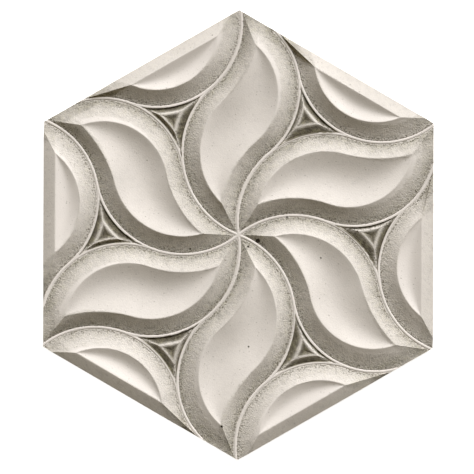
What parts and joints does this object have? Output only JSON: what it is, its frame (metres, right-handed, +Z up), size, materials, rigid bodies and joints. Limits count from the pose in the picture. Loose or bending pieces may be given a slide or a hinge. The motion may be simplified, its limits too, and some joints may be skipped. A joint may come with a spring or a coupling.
{
  "type": "hexagon floor tile",
  "caption": "Hexagonal ceramic floor tile with a raised whirl of dished leaves between fine beads, small studs in sunk pits and a flat keyed back for bedding in mortar.",
  "frame": {"origin": "middle of the back, on the surface that the tile lies on", "axes": "+Z up through the relief face, +Y through the corner at the top of the picture, +X to the right through the middle of a straight side"},
  "size_m": [0.285, 0.329, 0.013],
  "materials": {
    "fired_ceramic": "matt antiqued off-white ceramic with darker grime beside the beads and in the pits"
  },
  "bodies": {
    "root": {"hexagon_tile": "fired_ceramic"}
  },
  "joints": []
}
